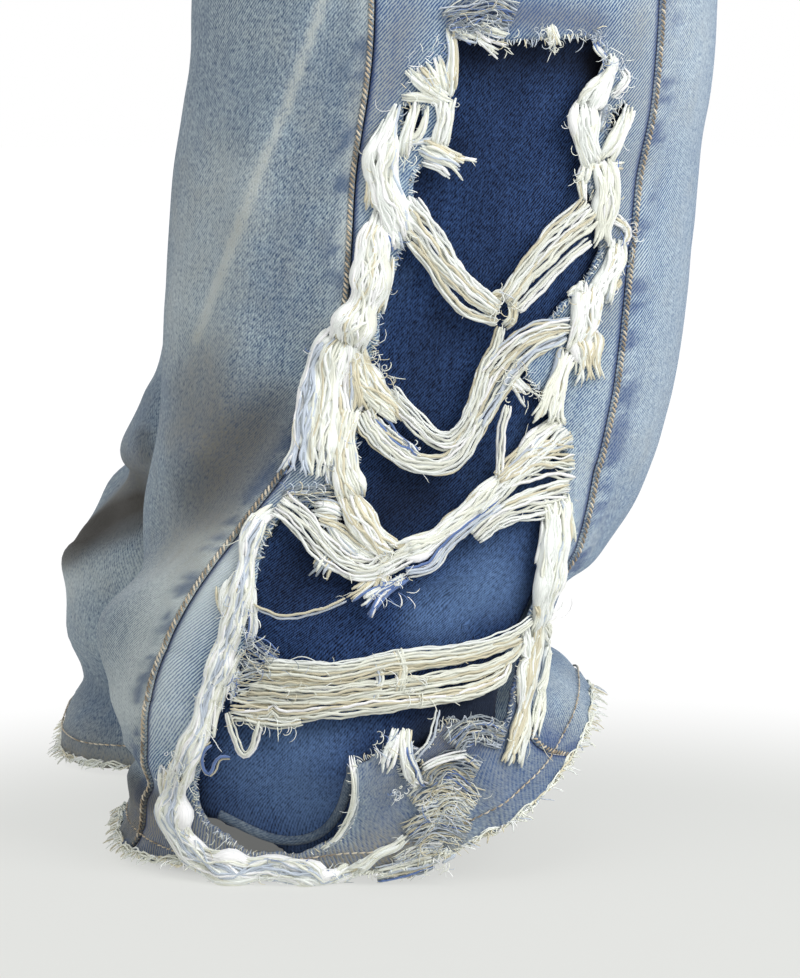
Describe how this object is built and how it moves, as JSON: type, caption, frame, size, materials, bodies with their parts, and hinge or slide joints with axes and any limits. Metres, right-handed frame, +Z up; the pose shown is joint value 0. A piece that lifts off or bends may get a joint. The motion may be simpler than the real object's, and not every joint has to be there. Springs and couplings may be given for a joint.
{
  "type": "ripped wide-leg jeans",
  "caption": "Worn wide-leg jeans, hollow as on a figure, with a long frayed rip down the right leg's side, dark denim behind it and stacked raw hems.",
  "frame": {"origin": "middle of the waist, where the wearer holds the garment up", "axes": "+Z up, -Y the garment's front, -X the wearer's right"},
  "size_m": [0.4289, 0.323, 1.0356],
  "materials": {
    "washed_denim": "light blue washed twill, worn and faded",
    "greyed_denim": "greyer washed twill with a beige tint",
    "dark_denim": "dark indigo twill",
    "yarn": "cream and white loose cotton yarn",
    "button_metal": "dull aged brass"
  },
  "bodies": {
    "root": {"front_right": "washed_denim", "pocket_facing_right": "washed_denim", "side_right": "washed_denim", "back_right": "greyed_denim", "yoke_right": "greyed_denim", "back_pocket_right": "greyed_denim", "hem_fringe_right": "yarn", "rip_underlay": "dark_denim", "rip_threads": "yarn", "front_left": "washed_denim", "pocket_facing_left": "washed_denim", "side_left": "washed_denim", "back_left": "greyed_denim", "yoke_left": "greyed_denim", "back_pocket_left": "greyed_denim", "hem_fringe_left": "yarn", "fly": "washed_denim", "waistband": "washed_denim", "belt_loop_1": "washed_denim", "belt_loop_2": "washed_denim", "belt_loop_3": "washed_denim", "belt_loop_4": "washed_denim", "belt_loop_5": "washed_denim", "waist_button": "button_metal"}
  },
  "joints": []
}
